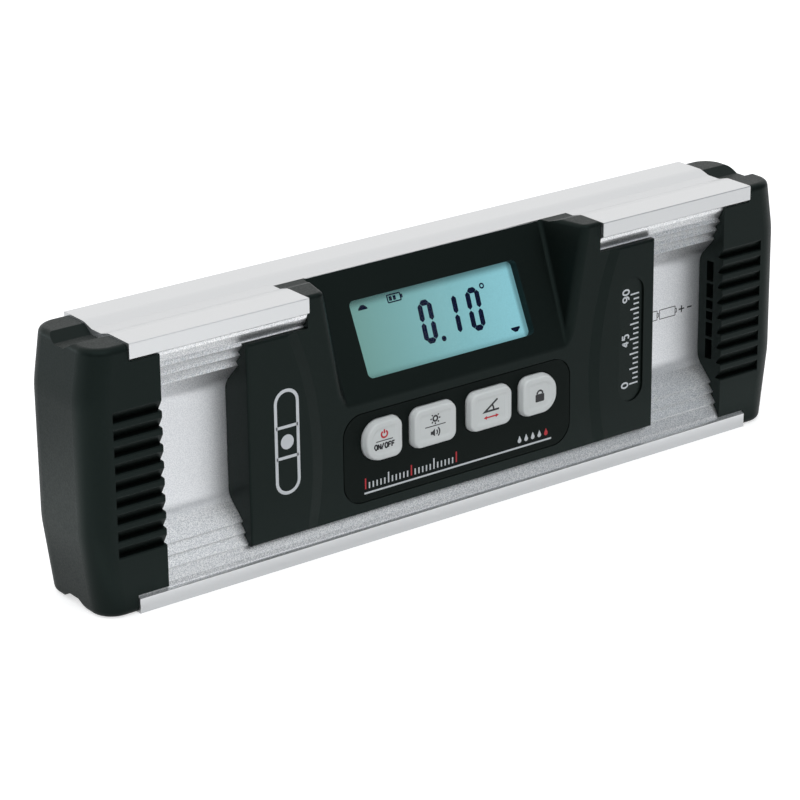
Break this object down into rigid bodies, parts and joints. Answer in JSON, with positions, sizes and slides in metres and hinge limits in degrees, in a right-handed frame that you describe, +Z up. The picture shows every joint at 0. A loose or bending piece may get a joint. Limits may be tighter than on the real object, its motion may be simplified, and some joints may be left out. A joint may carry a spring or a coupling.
{
  "type": "digital spirit level",
  "caption": "Short aluminium box-section level with an electronic tilt display, push keys under it, ribbed side recesses and black end caps; one cap pulls off to reach the battery tube.",
  "frame": {"origin": "centre of the base, on the surface that the two lower strips stand on", "axes": "+X along the beam towards the battery cap, -Y out of the display side, +Z up"},
  "size_m": [0.2294, 0.0311, 0.072],
  "materials": {
    "aluminium": "satin anodised",
    "black_plastic": "fine satin",
    "keypad_black": "satin print film",
    "window": "clear",
    "display": "backlit liquid crystal",
    "light_guide": "clear",
    "key_grey": "fine satin",
    "inner_plastic": "plain",
    "seal_rubber": "plain",
    "board_green": "solder mask",
    "ribbon_amber": "film",
    "steel": "plated",
    "cell_wrap": "plain wrap",
    "lead_cover": "plain"
  },
  "bodies": {
    "level_body": {"beam": "aluminium", "left_end_cap": "black_plastic", "front_housing": "black_plastic", "keypad_panel": "keypad_black", "display_window": "window", "lcd_panel": "display", "backlight": "light_guide", "display_frame": "inner_plastic", "rear_cover": "inner_plastic", "switch_bases": "inner_plastic", "battery_tube": "inner_plastic", "buzzer": "inner_plastic", "controller_chip": "inner_plastic", "window_gasket": "seal_rubber", "cover_gasket": "seal_rubber", "lead_grommet": "seal_rubber", "main_board": "board_green", "display_ribbon": "ribbon_amber", "tilt_sensor": "steel", "board_screws": "steel", "display_screws": "steel", "cover_screws": "steel", "housing_screws": "steel", "inner_contact": "steel", "return_strip": "steel", "battery_inner": "cell_wrap", "battery_outer": "cell_wrap", "battery_leads": "lead_cover"},
    "battery_cap": {"right_end_cap": "black_plastic", "cap_contact": "steel", "cap_seal": "seal_rubber"},
    "power_button": {"power_key": "key_grey", "power_switch_stem": "inner_plastic"},
    "light_button": {"light_key": "key_grey", "light_switch_stem": "inner_plastic"},
    "mode_button": {"mode_key": "key_grey", "mode_switch_stem": "inner_plastic"},
    "hold_button": {"hold_key": "key_grey", "hold_switch_stem": "inner_plastic"}
  },
  "joints": [
    {"name": "battery_cap_slide", "type": "slide", "parent": "level_body", "child": "battery_cap", "axis": [1, 0, 0], "range_m": [0, 0.016]},
    {"name": "power_button_press", "type": "slide", "parent": "level_body", "child": "power_button", "axis": [0, 1, 0], "range_m": [0, 0.0007], "stiffness_N_per_m": 800},
    {"name": "light_button_press", "type": "slide", "parent": "level_body", "child": "light_button", "axis": [0, 1, 0], "range_m": [0, 0.0007], "stiffness_N_per_m": 800},
    {"name": "mode_button_press", "type": "slide", "parent": "level_body", "child": "mode_button", "axis": [0, 1, 0], "range_m": [0, 0.0007], "stiffness_N_per_m": 800},
    {"name": "hold_button_press", "type": "slide", "parent": "level_body", "child": "hold_button", "axis": [0, 1, 0], "range_m": [0, 0.0007], "stiffness_N_per_m": 800}
  ]
}
